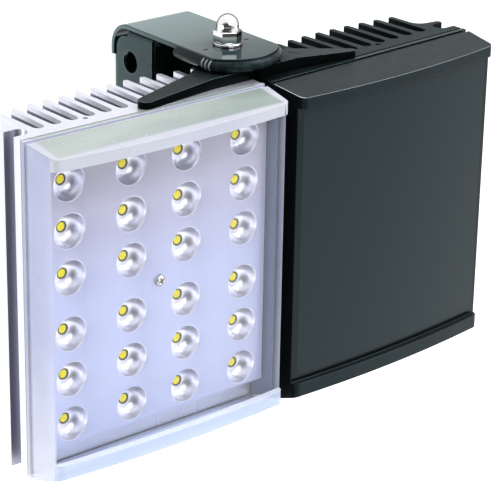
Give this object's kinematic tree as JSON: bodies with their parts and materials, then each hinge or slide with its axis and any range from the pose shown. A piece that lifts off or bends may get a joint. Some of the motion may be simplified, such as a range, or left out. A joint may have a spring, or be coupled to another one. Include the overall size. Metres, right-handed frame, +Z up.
{
  "type": "twin-panel infrared and white-light illuminator",
  "caption": "Two finned LED flood panels side by side on one tilting clevis bracket, one behind a clear cover and one behind a dark infrared cover, each turning about the hub bolt.",
  "frame": {"origin": "centre of the tilt-bolt bore, midway between the cheeks of the clevis", "axes": "+X along the tilt bore to the right as seen from the front, +Y to the back, +Z up"},
  "size_m": [0.3015, 0.1306, 0.2096],
  "materials": {
    "silver_alloy": "satin clear-anodised extrusion",
    "black_alloy": "satin black anodised or coated aluminium",
    "black_steel": "glossy black coated steel sheet",
    "plated_steel": "bright polished stainless steel",
    "screw_steel": "plain stainless steel",
    "clear_cover": "clear polycarbonate",
    "dark_cover": "dark polycarbonate that passes infrared",
    "seal_rubber": "matte black rubber",
    "board": "metal-core board with white mask",
    "white_leds": "yellow phosphor under a clear dome",
    "infrared_leds": "clear dome",
    "bright_reflector": "vacuum-metallised plastic, mirror bright",
    "terminal_plastic": "moulded plastic",
    "gland_plastic": "black nylon"
  },
  "bodies": {
    "bracket": {"top_plate": "black_steel", "tilt_clevis": "black_steel", "index_dial": "black_alloy", "hub_bolt": "plated_steel", "hub_washer": "plated_steel", "acorn_nut": "plated_steel"},
    "silver_panel": {"silver_arm": "black_alloy", "silver_arm_screws": "screw_steel", "silver_heatsink": "silver_alloy", "silver_gasket": "seal_rubber", "silver_cover": "clear_cover", "silver_led_board": "board", "silver_leds": "white_leds", "silver_reflector": "bright_reflector", "silver_reflector_screw": "screw_steel", "silver_board_screws": "screw_steel", "silver_terminal": "terminal_plastic", "silver_gland_body": "gland_plastic", "silver_gland_nut": "gland_plastic"},
    "black_panel": {"black_arm": "black_alloy", "black_arm_screws": "screw_steel", "black_heatsink": "black_alloy", "black_gasket": "seal_rubber", "black_cover": "dark_cover", "black_led_board": "board", "black_leds": "infrared_leds", "black_reflector": "bright_reflector", "black_reflector_screw": "screw_steel", "black_board_screws": "screw_steel", "black_terminal": "terminal_plastic", "black_gland_body": "gland_plastic", "black_gland_nut": "gland_plastic"}
  },
  "joints": [
    {"name": "silver_yaw", "type": "hinge", "parent": "bracket", "child": "silver_panel", "pos_m": [0, -0.0555, 0.01], "axis": [0, 0, 1], "range_deg": [-30, 0]},
    {"name": "black_yaw", "type": "hinge", "parent": "bracket", "child": "black_panel", "pos_m": [0, -0.0555, 0.01], "axis": [0, 0, 1], "range_deg": [-3, 30]}
  ]
}
